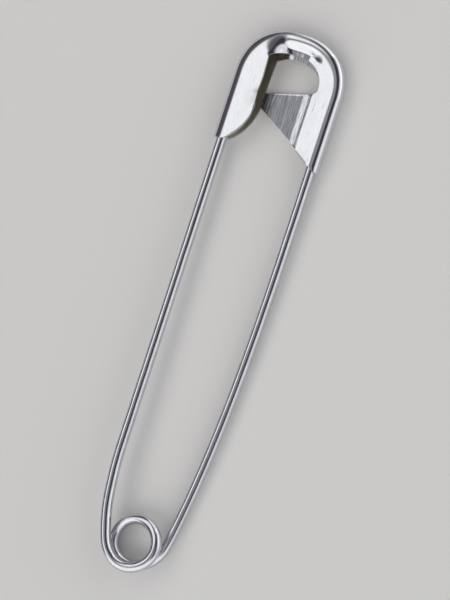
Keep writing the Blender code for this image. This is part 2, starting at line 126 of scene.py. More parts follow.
# Window through the guard. Its points are measured from the middle of the dome's base
WINDOW_X = -0.02 * MM
WINDOW_LIFT = 0.50 * MM
WINDOW_HALF_WIDTH = 3.30 * MM
WINDOW_RISE = 2.70 * MM
WINDOW_POWER = 2.2
WINDOW_CORNER_DEGREES = 137.0
WINDOW_FOOT_ROUND = 1.00 * MM
WINDOW_FOOT_DROP = 0.62 * MM
WINDOW_FOOT_SHARE = 0.1
WINDOW_FOOT_LEFT = (-2.40 * MM, -1.30 * MM)
WINDOW_SIDE_LEFT = (-2.36 * MM, 0.20 * MM)
FLAP_TOP_DEGREES = -56.0
BACK_LIP = 0.45 * MM

# Where the crimp starts and is complete, going right over the dome, at the fold and at the cheeks' edges
CRIMP_FROM_X = -4.70 * MM
CRIMP_TO_X = -1.50 * MM
PRESS_FROM_X = -4.90 * MM
PRESS_TO_X = -1.20 * MM
WIRE_END_DEGREES = 109.0

# Where the back sheet steps down from the pressed fold to the channel's floor, going left
STEP_FROM_X = 3.90 * MM
STEP_TO_X = 1.60 * MM
STEP_END_DEGREES = 30.0

# Folds that the press left in the front cheek: degrees round the dome, width in degrees, depth
PRESS_FOLDS = (
    (104.0, 2.2, 0.012 * MM),
    (96.5, 0.9, -0.010 * MM),
    (85.0, 3.0, 0.010 * MM),
    (76.0, 2.6, -0.014 * MM),
    (60.0, 4.0, 0.008 * MM),
)

# Drawn ridges along the web: place, width, height
WEB_RIDGES = (
    (-2.35 * MM, 0.42 * MM, 0.0400 * MM),
    (-1.30 * MM, 0.22 * MM, 0.0060 * MM),
    (0.12 * MM, 0.26 * MM, -0.0040 * MM),
    (2.74 * MM, 0.10 * MM, -0.0200 * MM),
)

# The arm's bend from the coil to the pivot, as shares of the coil's radius from its centre
ARM_BEND_SHARES = (
    (-0.6330, -0.9150),
    (-0.9130, -0.6680),
    (-1.1030, -0.3820),
    (-1.2850, 0.0800),
    (-1.5470, 0.9830),
    (-1.7080, 2.0042),
    (-1.7870, 2.7941),
)

# Coil turns, in degrees clockwise from the coil's right side
COIL_SETTLED = 90.0
COIL_RISE_FROM = 180.0
COIL_RISE_TO = 360.0
COIL_RELEASE = 470.0
BEND_LEAD_DEGREES = (16.0, 8.0)

# How much wider the coil's turns get towards the spine and the arm, and the layers' shifts to the right
COIL_SPREAD_SHARE = 0.250
COIL_SPREAD_POWER = 3.0
FRONT_SPREAD_SHARE = 0.115
FRONT_SPREAD_FROM = 378.0
FRONT_SPREAD_TO = 475.0
BACK_SHIFT = -0.19 * MM
BACK_SHIFT_AT = 130.0
FRONT_SHIFT = 0.27 * MM

# Counts
LEG_ROWS = 26
LEFT_UPPER_ROWS = 7
DOME_ROWS = 84
CORNER_ROWS = 22
FOLD_STEPS = 14
CHEEK_STEPS = 20
WEB_COLUMNS = 90
WEB_RIDGE_FADE = 12
WIRE_SIDES = 28
FOOT_ROWS = 7
WIRE_STEP = 0.16 * MM
ROUTE_SMOOTHING = 4
ROUTE_POINTS = 220

# Finish
WHITE = (1.0, 1.0, 1.0)
BLACK = (0.0, 0.0, 0.0)
PLATE = (0.71, 0.72, 0.745)
PLATE_SHADE = (0.55, 0.56, 0.60)
SOFT_SHADE = (0.665, 0.675, 0.705)
WEB_SHADE = (0.36, 0.37, 0.42)
CUT_STEEL = (0.66, 0.65, 0.61)
# Painted shade for the open channel's inside: two olive tones, darker than the plate, standing in for
# the shade within the fold
CHANNEL_PAINTED_SHADE = (0.54, 0.52, 0.41)
CHANNEL_PAINTED_DEEP_SHADE = (0.36, 0.34, 0.27)
INSIDE_DULLNESS = 0.32
WORN_STEEL = (0.50, 0.50, 0.52)
FLOOR_COLOUR = (0.84, 0.83, 0.81)

# Marks on the metal: their scales per millimetre, depths, and the noise levels between which they set in
SHEET_STREAKS = (5.0, 0.3, 2.0)
WIRE_STREAKS = (0.25, 26.0, 1.0)
EDGE_STREAKS = (4.0, 4.0, 12.0)
FINE_STREAKS = 3.0
FINE_BUMP_SHARE = 0.25
LINE_STOPS = ((0.40, 0.0), (0.64, 1.0))
SMUDGE_SCALE = 0.8
SMUDGE_STOPS = ((0.48, 0.0), (0.72, 1.0))
SMUDGE_TONE = 0.4
SCRATCH_TURN = 0.6
SCRATCH_SCALES = (5.0, 0.5, 2.0)
SCRATCH_STOPS = ((0.68, 0.0), (0.72, 1.0))
PIT_SCALE = 5.0
PIT_STOPS = ((0.72, 0.0), (0.78, 1.0))
WORN_TONE = 0.3
WEAR_DEPTH = 0.002 * MM
MARK_ROUGHNESS = 0.06

# Camera, as the photograph was taken
CAMERA_TILT_DEGREES = 20.0
CAMERA_TURN = (0.3123, 0.9500)
CAMERA_DISTANCE = 330 * MM
IMAGE_HEIGHT_PIXELS = 600
PIXELS_PER_MM = 9.93
VIEW_FROM_COIL = (1.0 * MM, 25.98 * MM)
SENSOR = 36.0

# Floor
FLOOR_HALF = 4.0
FLOOR_LEVEL = -0.02 * MM

# Light. The room has one dark band: its middle leans from straight up towards +X and then +Y, and
# the stops are distances from that middle. The fades are levels at which the other parts set in
PANEL_DISTANCE = 1.2
PANEL_WATTS = 1.54
ROOM_LEVEL = 1.16
LEFT_HORIZON = (0.085, 0.070, 0.085)
DARK_CENTRE = (10.0, 22.5)
DARK_TURN = -41.6
DARK_LENGTH_SCALE = 0.35
SHADOW_STOPS = ((0.19, 0.12), (0.28, 0.36), (0.36, 1.0))
FIELD_STOPS = ((0.36, (0.34, 0.33, 0.38)), (0.58, 0.22), (0.64, 0.24), (0.74, 0.60), (0.84, 1.0))
WINDOW_SIDE = (-0.75, 0.66, 0.0)
WINDOW_FADE = (0.30, 0.40)
LEFT_SIDE = (-0.97, 0.25, 0.0)
LEFT_FADE = (0.72, 0.48)
HORIZON_FADE = (0.52, 0.60)
NEAR_FADE = (-0.30, -0.55)

# Sizes that follow
WIRE_RADIUS = WIRE_DIAMETER / 2
HALF_SHEET = SHEET_THICKNESS / 2
CHANNEL_HALF_GAP = WIRE_RADIUS + ARM_CLEARANCE
GUARD_HALF_DEPTH = CHANNEL_HALF_GAP + SHEET_THICKNESS
OPEN_BEND = CHANNEL_HALF_GAP + HALF_SHEET
TIGHT_BEND = WIRE_RADIUS + WIRE_CLEARANCE + HALF_SHEET
CRIMP_DROP = OPEN_BEND - TIGHT_BEND
PRESSED_LEVEL = (PRESSED_GAP + SHEET_THICKNESS) / 2
ARM_X = ARM_SPACING / 2
RIM_X = ARM_X + TIGHT_BEND
DOME_RISE = DOME_HEIGHT - HALF_SHEET
LOBE_BOTTOM_Y = DOME_BASE_Y - LOBE_DROP
SLANT_APEX_Y = DOME_BASE_Y - SLANT_APEX_DROP
SLANT_RIM_Y = DOME_BASE_Y - SLANT_RIM_DROP
ARM_TIP_Y = DOME_BASE_Y + ARM_TIP_LIFT
ARM_SEAT_Y = DOME_BASE_Y - ARM_SEAT_DROP
ARM_PIVOT_Y = ARM_BEND_SHARES[-1][1] * COIL_RADIUS + PIVOT_LEAD
BACK_LAYER_Z = WIRE_RADIUS - GUARD_HALF_DEPTH
FRONT_LAYER_Z = BACK_LAYER_Z + WIRE_DIAMETER + COIL_TURN_GAP


def ease(share):
    """0 to 1 with level ends."""
    share = min(max(share, 0.0), 1.0)
    return share * share * (3 - 2 * share)


def blend(first, second, share):
    return first + (second - first) * share


def steady(share, soft_share):
    """0 to 1 at an even slope, with short soft ends."""
    share = min(max(share, 0.0), 1.0)
    rise = 1 / (1 - soft_share)
    if share < soft_share:
        return rise * share * share / (2 * soft_share)
    if share > 1 - soft_share:
        return 1 - rise * (1 - share) ** 2 / (2 * soft_share)
    return rise * (share - soft_share / 2)


def rounded(centre, half_width, rise, power, degrees):
    """A point of a superellipse, counted anticlockwise from its right side."""
    across = math.cos(math.radians(degrees))
    up = math.sin(math.radians(degrees))
    return np.array(
        (
            centre[0] + half_width * math.copysign(abs(across) ** (2 / power), across),
            centre[1] + rise * math.copysign(abs(up) ** (2 / power), up),
        )
    )


def on_dome(place):
    """A place in the pin's frame, from one that is measured from the middle of the dome's base."""
    return np.array((place[0], DOME_BASE_Y + place[1]))


def dome_point(degrees):
    """The guard's outline over the dome, at the middle of the sheet."""
    return rounded(on_dome((0, 0)), RIM_X, DOME_RISE, DOME_POWER, degrees)


def inward_normal(rim):
    """The direction square to the guard's outline at a point of it, towards the inside."""
    outward = rim - on_dome((0, 0))
    outward[1] = max(outward[1], 0.0)
    slope = np.abs(outward / np.array((RIM_X, DOME_RISE))) ** (DOME_POWER - 1)
    normal = np.copysign(slope / np.array((RIM_X, DOME_RISE)), outward)
    return -normal / np.linalg.norm(normal)


def window_point(degrees, lip=0.0):
    """The window's edge, anticlockwise from its right side. Below 0 it is the lower right corner."""
    centre = on_dome((WINDOW_X, WINDOW_LIFT))
    if degrees < 0:
        corner = centre + np.array((WINDOW_HALF_WIDTH - WINDOW_FOOT_ROUND, 0.0))
        return rounded(corner, WINDOW_FOOT_ROUND, WINDOW_FOOT_DROP, WINDOW_POWER, degrees)
    upper = lip * ease(math.sin(math.radians(degrees)))
    return rounded(centre, WINDOW_HALF_WIDTH - upper, WINDOW_RISE - upper, WINDOW_POWER, degrees)


def window_foot_y(x):
    """The window's lower edge, which rises round a corner at its right end."""
    foot_left, foot_right = on_dome(WINDOW_FOOT_LEFT), window_point(-90.0)
    along = (x - foot_left[0]) / (foot_right[0] - foot_left[0])
    if along < 1:
        return blend(foot_left[1], foot_right[1], along)
    across = (x - foot_right[0]) / WINDOW_FOOT_ROUND
    lift = 1 - (1 - across**WINDOW_POWER) ** (1 / WINDOW_POWER)
    return foot_right[1] + WINDOW_FOOT_DROP * lift


def crimp_at(x):
    """0 where the fold is an open channel, 1 where it is pressed round the wire."""
    return ease((x - CRIMP_FROM_X) / (CRIMP_TO_X - CRIMP_FROM_X))


def press_at(x):
    """0 where the cheeks' edges stand apart, 1 where they are pressed together."""
    return ease((x - PRESS_FROM_X) / (PRESS_TO_X - PRESS_FROM_X))


def press_fold_at(degrees):
    """How far the front cheek stands out at a place round the dome."""
    return sum(
        depth * math.exp(-(((degrees - place) / width) ** 2))
        for place, width, depth in PRESS_FOLDS
    )


def stepped_down(x):
    """0 where the back sheet is pressed against the front, 1 where it is the channel's floor."""
    return ease((STEP_FROM_X - x) / (STEP_FROM_X - STEP_TO_X))


def guard_stations():
    """Cross-sections of the guard, from the foot of its right side over the dome to its left foot."""
    flap_top = window_point(FLAP_TOP_DEGREES)
    foot_left = on_dome(WINDOW_FOOT_LEFT)
    side_left = on_dome(WINDOW_SIDE_LEFT)
    apex = np.array((SLANT_APEX_X, SLANT_APEX_Y))
    lobe_corner = np.array((LOBE_EDGE_X, DOME_BASE_Y - LOBE_CORNER_DROP))
    slant_share = (FLAP_EDGE_X - SLANT_APEX_X) / (RIM_X - SLANT_APEX_X)
    flap_foot = np.array((FLAP_EDGE_X, blend(SLANT_APEX_Y, SLANT_RIM_Y, slant_share)))
    stations = []
    for row in range(LEG_ROWS + 1):
        share = row / LEG_ROWS
        rim = np.array((RIM_X, blend(SLANT_RIM_Y, DOME_BASE_Y, share)))
        inner = blend(flap_foot, flap_top, share)
        stations.append(Station(rim, inner, inner, 1.0, 1.0, 1.0, 0.0, 0.0))
    for row in range(1, DOME_ROWS + 1):
        share = row / DOME_ROWS
        degrees = WINDOW_CORNER_DEGREES * share
        rim = dome_point(degrees)
        if share < WINDOW_FOOT_SHARE:
            front = back = window_point(FLAP_TOP_DEGREES * (1 - share / WINDOW_FOOT_SHARE))
        else:
            turned = WINDOW_CORNER_DEGREES * (share - WINDOW_FOOT_SHARE) / (1 - WINDOW_FOOT_SHARE)
            front, back = window_point(turned), window_point(turned, BACK_LIP)
        step = 1 - ease(degrees / STEP_END_DEGREES)
        pressed = crimp_at(rim[0]), press_at(rim[0])
        stations.append(Station(rim, front, back, *pressed, step, 0.0, press_fold_at(degrees)))
    front_corner = window_point(WINDOW_CORNER_DEGREES)
    back_corner = window_point(WINDOW_CORNER_DEGREES, BACK_LIP)
    for row in range(1, CORNER_ROWS + 1):
        share = row / CORNER_ROWS
        degrees = blend(WINDOW_CORNER_DEGREES, 180.0, share)
        rim = dome_point(degrees)
        front, back = blend(front_corner, side_left, share), blend(back_corner, side_left, share)
        pressed = crimp_at(rim[0]), press_at(rim[0])
        stations.append(Station(rim, front, back, *pressed, 0.0, 0.0, press_fold_at(degrees)))
    for row in range(1, LEFT_UPPER_ROWS + LEG_ROWS + 1):
        share = row / (LEFT_UPPER_ROWS + LEG_ROWS)
        rim = np.array((-RIM_X, blend(DOME_BASE_Y, LOBE_BOTTOM_Y, share)))
        if row <= LEFT_UPPER_ROWS:
            front = back = blend(side_left, foot_left, row / LEFT_UPPER_ROWS)
        else:
            down = (row - LEFT_UPPER_ROWS) / LEG_ROWS
            front = blend(foot_left, lobe_corner, down)
            back = blend(foot_left, apex, down)
        stations.append(Station(rim, front, back, 0.0, 0.0, 0.0, share * share, 0.0))
    return stations


def section_side(station, side):
    """Points of one cheek from the rim inwards. side is 1 for the front and -1 for the back.

    Insets and reach are measured square to the guard's outline.
    """
    inner = station.front if side > 0 else station.back
    depth = blend(OPEN_FOLD_DEPTH, TIGHT_BEND, station.crimp)
    fold_rise = blend(OPEN_BEND, TIGHT_BEND, station.crimp)
    reach = (inner - station.rim) @ inward_normal(station.rim)
    levels = []
    for step in range(1, FOLD_STEPS + 1):
        turn = math.radians(90.0 * step / FOLD_STEPS)
        inset = depth * (1 - math.cos(turn) ** (2 / FOLD_POWER))
        height = fold_rise * math.sin(turn) ** (2 / FOLD_POWER)
        levels.append((inset, height, station.crimp))
    for step in range(1, CHEEK_STEPS + 1):
        across = (1 - math.cos(math.radians(180.0 * step / CHEEK_STEPS))) / 2
        inset = blend(depth, reach, across)
        crimp = blend(station.crimp, station.press, ease(across))
        rise = blend(OPEN_BEND, TIGHT_BEND, crimp)
        if side > 0:
            wide = steady((inset - depth) / FRONT_CRIMP_WIDTH, CRIMP_SOFT_SHARE)
            narrow = steady((inset - depth - ARCH_CRIMP_DELAY) / ARCH_CRIMP_WIDTH, ARCH_SOFT_SHARE)
            dropped = blend(narrow, wide, ease((station.rim[0] - ARCH_TO_X) / ARCH_FADE))
        else:
            dropped = ease((inset - depth) / BACK_CRIMP_WIDTH)
        levels.append((inset, blend(rise, blend(OPEN_BEND, PRESSED_LEVEL, crimp), dropped), crimp))
    points = []
    for inset, height, crimp in levels:
        share = inset / reach
        flat_share = LOBE_FLAT_SHARE if side > 0 else BACK_FLAT_SHARE
        curved = max(share - flat_share, 0.0) / (1 - flat_share)
        lobe = 1 - max(1 - curved**LOBE_POWER, 0.0) ** (1 / LOBE_POWER)
        along = blend(share, lobe, station.lobe)
        x = blend(station.rim[0], inner[0], share)
        y = blend(station.rim[1], inner[1], along)
        z = side * height - CRIMP_DROP * crimp
        if side > 0:
            curl = max(inset - reach + CURL_WIDTH, 0.0) / CURL_WIDTH
            down = math.sqrt(station.lobe)
            ends = ease(down / CURL_END_SHARE) * ease((1 - down) / CURL_END_SHARE)
            rolled = CURL_DEPTH * curl**2 * ends
            z += (LOBE_SLOPE * inset - rolled) * (1 - crimp)
            z += station.fold * ease((inset - depth) / (reach - depth))
        else:
            z = blend(z, -OPEN_BEND, stepped_down(x) * station.step) + ridge_at(x) * station.step
        points.append((x, y, z))
    return points


def ridge_at(x):
    """How far the drawn ridges stand out of the back sheet."""
    return sum(
        height * math.exp(-(((x - place) / width) ** 2)) for place, width, height in WEB_RIDGES
    )


def web_height(x, share):
    """The web's level. Its ridges fade out at its left side, where the channel's floor begins."""
    pressed = -PRESSED_LEVEL - CRIMP_DROP
    ridge = ridge_at(x) * ease(WEB_RIDGE_FADE * (1 - share))
    return blend(pressed, -OPEN_BEND, stepped_down(x)) + ridge


def guard_sheet():
    """The guard's middle surface: the folded band, and the web behind the window's foot."""
    sheet = bmesh.new()
    channel = sheet.verts.layers.float.new("channel")
    sections = []
    for station in guard_stations():
        middle = [(station.rim[0], station.rim[1], -CRIMP_DROP * station.crimp)]
        outline = section_side(station, 1)[::-1] + middle + section_side(station, -1)
        sections.append([sheet.verts.new(point) for point in outline])
        # The channel share, 1 where the fold stands open, is the mask for painted shade on the sheet's
        # inside faces
        for vertex in sections[-1]:
            vertex[channel] = 1 - station.crimp
    for first, second in zip(sections, sections[1:]):
        for a, b, c, d in zip(first, first[1:], second[1:], second):
            sheet.faces.new((a, b, c, d))
    web = []
    for row in range(LEG_ROWS + 1):
        right = sections[row][-1]
        left = sections[-1 - row][-1]
        line = [right]
        for column in range(1, WEB_COLUMNS):
            share = column / WEB_COLUMNS
            place = right.co.lerp(left.co, share)
            place.z = web_height(place.x, share)
            if row == LEG_ROWS:
                place.y = window_foot_y(place.x)
            line.append(sheet.verts.new(place))
        web.append(line + [left])
    for first, second in zip(web, web[1:]):
        for a, b, c, d in zip(first, first[1:], second[1:], second):
            sheet.faces.new((a, b, c, d))
    bmesh.ops.recalc_face_normals(sheet, faces=sheet.faces)
    mesh = bpy.data.meshes.new("guard")
    sheet.to_mesh(mesh)
    sheet.free()
    return mesh


def smooth_route(points, count):
    """Evenly counted points of a natural cubic spline through the given ones."""
    points = np.array(points, float)
    steps = np.linalg.norm(np.diff(points, axis=0), axis=1)
    knots = np.concatenate(([0.0], np.cumsum(steps)))
    final = len(points) - 1
    matrix = np.zeros((final + 1, final + 1))
    target = np.zeros_like(points)
    matrix[0, 0] = matrix[-1, -1] = 1.0
    for i in range(1, final):
        before, after = steps[i - 1], steps[i]
        matrix[i, i - 1 : i + 2] = before, 2 * (before + after), after
        rise = (points[i + 1] - points[i]) / after - (points[i] - points[i - 1]) / before
        target[i] = 6 * rise
    curvature = np.linalg.solve(matrix, target)
    route = []
    for place in np.linspace(0, knots[-1], count):
        i = min(np.searchsorted(knots, place, side="right"), final) - 1
        step, ahead, back = steps[i], knots[i + 1] - place, place - knots[i]
        bent = (curvature[i] * ahead**3 + curvature[i + 1] * back**3) / (6 * step)
        start = (points[i] / step - curvature[i] * step / 6) * ahead
        end = (points[i + 1] / step - curvature[i + 1] * step / 6) * back
        route.append(bent + start + end)
    return np.array(route)


def coil_point(degrees):
    """A point of the coil, clockwise from its right side, climbing from the back layer to the front."""
    unsettled = max(1 - degrees / COIL_SETTLED, 0.0)
    released = ease((degrees - FRONT_SPREAD_FROM) / (FRONT_SPREAD_TO - FRONT_SPREAD_FROM))
    spread = COIL_SPREAD_SHARE * unsettled**COIL_SPREAD_POWER + FRONT_SPREAD_SHARE * released
    radius = COIL_RADIUS * (1 + spread)
    climb = ease((degrees - COIL_RISE_FROM) / (COIL_RISE_TO - COIL_RISE_FROM))
    back_shift = BACK_SHIFT * ease(degrees / BACK_SHIFT_AT)
    onward = ease((degrees - BACK_SHIFT_AT) / (COIL_RISE_TO - BACK_SHIFT_AT))
    shift = blend(back_shift, FRONT_SHIFT * (1 - released), onward)
    turn = math.radians(degrees)
    return np.array(
        (
            shift - COIL_OFFSET + radius * math.cos(turn),
            -radius * math.sin(turn),
            blend(BACK_LAYER_Z, FRONT_LAYER_Z, climb),
        )
    )


def arm_start():
    """The pivot between the arm's bend and its straight stretch."""
    last = np.array(ARM_BEND_SHARES[-1]) * COIL_RADIUS
    before = np.array(ARM_BEND_SHARES[-2]) * COIL_RADIUS
    lean = (last[0] - before[0]) / (last[1] - before[1]) / 2
    height = FRONT_LAYER_Z * (ARM_SEAT_Y - ARM_PIVOT_Y) / ARM_SEAT_Y
    return np.array((last[0] - COIL_OFFSET + lean * (ARM_PIVOT_Y - last[1]), ARM_PIVOT_Y, height))


def arm_point(y):
    """A point of the straight arm, which lies against the channel's wall at its seat."""
    start = arm_start()
    share = (y - start[1]) / (ARM_SEAT_Y - start[1])
    return np.array((blend(start[0], -ARM_X, share), y, blend(start[2], 0.0, share)))


def spine_route():
    """The fixed side: from its end inside the dome, round the rim and down to the coil."""
    route = []
    for degrees in np.linspace(WIRE_END_DEGREES, 0.0, DOME_ROWS)[:-1]:
        rim = dome_point(degrees)
        place = rim + inward_normal(rim) * TIGHT_BEND
        route.append((place[0], place[1], -CRIMP_DROP * crimp_at(rim[0])))
    end = coil_point(0.0)
    for y in np.linspace(DOME_BASE_Y, end[1], ROUTE_POINTS):
        share = max((SLANT_RIM_Y - y) / (SLANT_RIM_Y - end[1]), 0.0)
        hook = SPINE_HOOK * max(1 - (y - end[1]) / SPINE_HOOK_LENGTH, 0.0) ** 2
        x = blend(ARM_X, end[0] + SPINE_HOOK, share**SPINE_BOW_POWER) - hook
        route.append((x, y, blend(-CRIMP_DROP, end[2], share)))
    return np.array(route)


def coil_route(first, last):
    return np.array([coil_point(degrees) for degrees in np.arange(first, last, 2.0)])


def bend_route():
    """The arm's bend: off the coil's front layer and up to the pivot."""
    leave = coil_point(COIL_RELEASE)
    start = arm_start()
    knots = [coil_point(COIL_RELEASE - lead) for lead in BEND_LEAD_DEGREES] + [leave]
    for across, up in ARM_BEND_SHARES:
        y = up * COIL_RADIUS
        fall = (y - leave[1]) / (start[1] - leave[1])
        z = blend(FRONT_LAYER_Z, start[2], ease(fall) * fall)
        knots.append(np.array((across * COIL_RADIUS - COIL_OFFSET, y, z)))
    knots += [start, arm_point(start[1] + 2 * WIRE_DIAMETER)]
    route = smooth_route(knots, ROUTE_POINTS)
    begun = np.argmin(np.linalg.norm(route - leave, axis=1))
    ended = np.argmin(np.linalg.norm(route - start, axis=1))
    return np.concatenate(([leave], route[begun + 1 : ended]))


def resampled(route, step):
    """The route in even steps, with its small corners smoothed out and its ends kept."""
    along = np.concatenate(([0.0], np.cumsum(np.linalg.norm(np.diff(route, axis=0), axis=1))))
    places = np.linspace(0, along[-1], round(along[-1] / step) + 1)
    even = np.array([np.interp(places, along, route[:, axis]) for axis in range(3)]).T
    for _ in range(ROUTE_SMOOTHING):
        even[1:-1] = (even[:-2] + 2 * even[1:-1] + even[2:]) / 4
    return even


def section_frames(route):
    """Two directions across the wire at each point, carried along it without twist."""
    along = np.gradient(route, axis=0)
    along /= np.linalg.norm(along, axis=1)[:, None]
    side = np.cross(along[0], (0.0, 0.0, 1.0))
    sides = []
    for direction in along:
        side = side - direction * (side @ direction)
        side /= np.linalg.norm(side)
        sides.append(side)
    sides = np.array(sides)
    return sides, np.cross(along, sides)


def wire_piece(name, stations, material, place):
    """A closed tube from stations of (centre, side, up, radius, distance from the tip)."""
    mesh = bpy.data.meshes.new(name)
    turns = np.arange(WIRE_SIDES) * 2 * math.pi / WIRE_SIDES
    points = []
    for centre, side, up, radius, _ in stations:
        for turn in turns:
            points.append(centre + radius * (side * math.cos(turn) + up * math.sin(turn)))
    faces = []
    for row in range(len(stations) - 1):
        for i in range(WIRE_SIDES):
            j = (i + 1) % WIRE_SIDES
            a, b = row * WIRE_SIDES, (row + 1) * WIRE_SIDES
            faces.append((a + i, a + j, b + j, b + i))
    tube_faces = len(faces)
    last = (len(stations) - 1) * WIRE_SIDES
    faces.append(tuple(reversed(range(WIRE_SIDES))))
    faces.append(tuple(range(last, last + WIRE_SIDES)))
    mesh.from_pydata([tuple(point) for point in points], [], faces)
    layer = mesh.uv_layers.new(name="wire")
    for index, polygon in enumerate(mesh.polygons):
        polygon.use_smooth = index < tube_faces
        for corner, loop in enumerate(polygon.loop_indices):
            vertex = mesh.loops[loop].vertex_index
            around = (vertex % WIRE_SIDES) / WIRE_SIDES
            if index < tube_faces and index % WIRE_SIDES == WIRE_SIDES - 1 and corner in (1, 2):
                around = 1.0
            layer.data[loop].uv = (stations[vertex // WIRE_SIDES][4] / MM, around)
    mesh.materials.append(material)
    mesh.validate()
    mesh.set_sharp_from_angle(angle=math.radians(SHARP_DEGREES))
    piece = bpy.data.objects.new(name, mesh)
    bpy.context.scene.collection.objects.link(piece)
    mesh.transform(place)
    return piece


def make_wire(plated, place):
    """The pin's one length of wire, in the four pieces that turn against each other."""
    spine = spine_route()
    arm = np.array([arm_point(y) for y in np.linspace(ARM_PIVOT_Y, ARM_TIP_Y, ROUTE_POINTS)])
    whole = np.concatenate((spine, coil_route(0.0, COIL_RELEASE), bend_route(), arm))
    route = resampled(whole, WIRE_STEP)
    sides, ups = section_frames(route)
    along = np.arange(len(route)) * np.linalg.norm(route[-1] - route[-2])
    to_tip = along[-1] - along
    taper = np.clip(1 - to_tip / POINT_LENGTH, 0, 1)
    radii = blend(WIRE_RADIUS, POINT_TIP_RADIUS, taper**2)
    chamfer = np.clip(1 - along / WIRE_END_CHAMFER, 0, 1)
    radii = radii - WIRE_END_CHAMFER / 2 * chamfer

    def nearest(point):
        return int(np.argmin(np.linalg.norm(route - point, axis=1)))

    cuts = [
        0,
        nearest(coil_point(COIL_RISE_FROM)),
        nearest(coil_point(COIL_RISE_TO)),
        nearest(arm_start()),
        len(route) - 1,
    ]
    stations = list(zip(route, sides, ups, radii, to_tip))
    pieces = [stations[first : last + 1] for first, last in zip(cuts, cuts[1:])]
    pieces[-1] = ball_foot(pieces[-1][0], pieces[-1][1]) + pieces[-1]
    names = ("wire_fixed_side", "wire_coil_turn", "wire_arm_bend", "wire_arm")
    return [wire_piece(name, piece, plated, place) for name, piece in zip(names, pieces)]


def ball_foot(first, second):
    """Stations of the round foot, on which the straight arm turns inside the bend's end."""
    centre, side, up, _, from_tip = first
    ahead = (second[0] - centre) / np.linalg.norm(second[0] - centre)
    foot = []
    for row in range(1, FOOT_ROWS):
        turn = math.radians(90.0 * row / FOOT_ROWS)
        radius = FOOT_SHARE * WIRE_RADIUS
        place = centre - ahead * radius * math.cos(turn)
        foot.append((place, side, up, radius * math.sin(turn), from_tip + radius * math.cos(turn)))
    return foot


def add(tree, kind, values=None, links=None, **settings):
    """A new shader node with its settings, its typed input values and its links."""
    made = tree.nodes.new("ShaderNode" + kind)
    for name, value in settings.items():
        setattr(made, name, value)
    for name, value in (values or {}).items():
        made.inputs[name].default_value = value
    for name, source in (links or {}).items():
        tree.links.new(source, made.inputs[name])
    return made


def ramp(tree, source, stops):
    """A colour ramp through (place, grey level or colour) stops."""
    made = add(tree, "ValToRGB", links={"Fac": source})
    elements = made.color_ramp.elements
    while len(elements) < len(stops):
        elements.new(0.5)
    for element, (place, level) in zip(elements, stops):
        element.position = place
        colour = level if isinstance(level, tuple) else (level, level, level)
        element.color = (*colour, 1.0)
    return made.outputs["Color"]


def noise(tree, vector, scale, detail=3.0, roughness=0.55):
    values = {"Scale": scale, "Detail": detail, "Roughness": roughness}
    return add(tree, "TexNoise", values, {"Vector": vector}).outputs["Fac"]


def stretched(tree, vector, scales):
    return add(tree, "Mapping", {"Scale": scales}, {"Vector": vector}).outputs["Vector"]


def mixed(tree, share, first, second):
    """A mix of two colours, each a colour or a socket."""
    made = tree.nodes.new("ShaderNodeMix")
    made.data_type = "RGBA"
    tree.links.new(share, made.inputs[0])
    for place, value in ((6, first), (7, second)):
        if isinstance(value, tuple):
            made.inputs[place].default_value = (*value, 1.0)
        else:
            tree.links.new(value, made.inputs[place])
    return made.outputs[2]


def ranged(tree, source, low, high):
    made = add(tree, "MapRange", {"To Min": low, "To Max": high}, {"Value": source})
    return made.outputs["Result"]


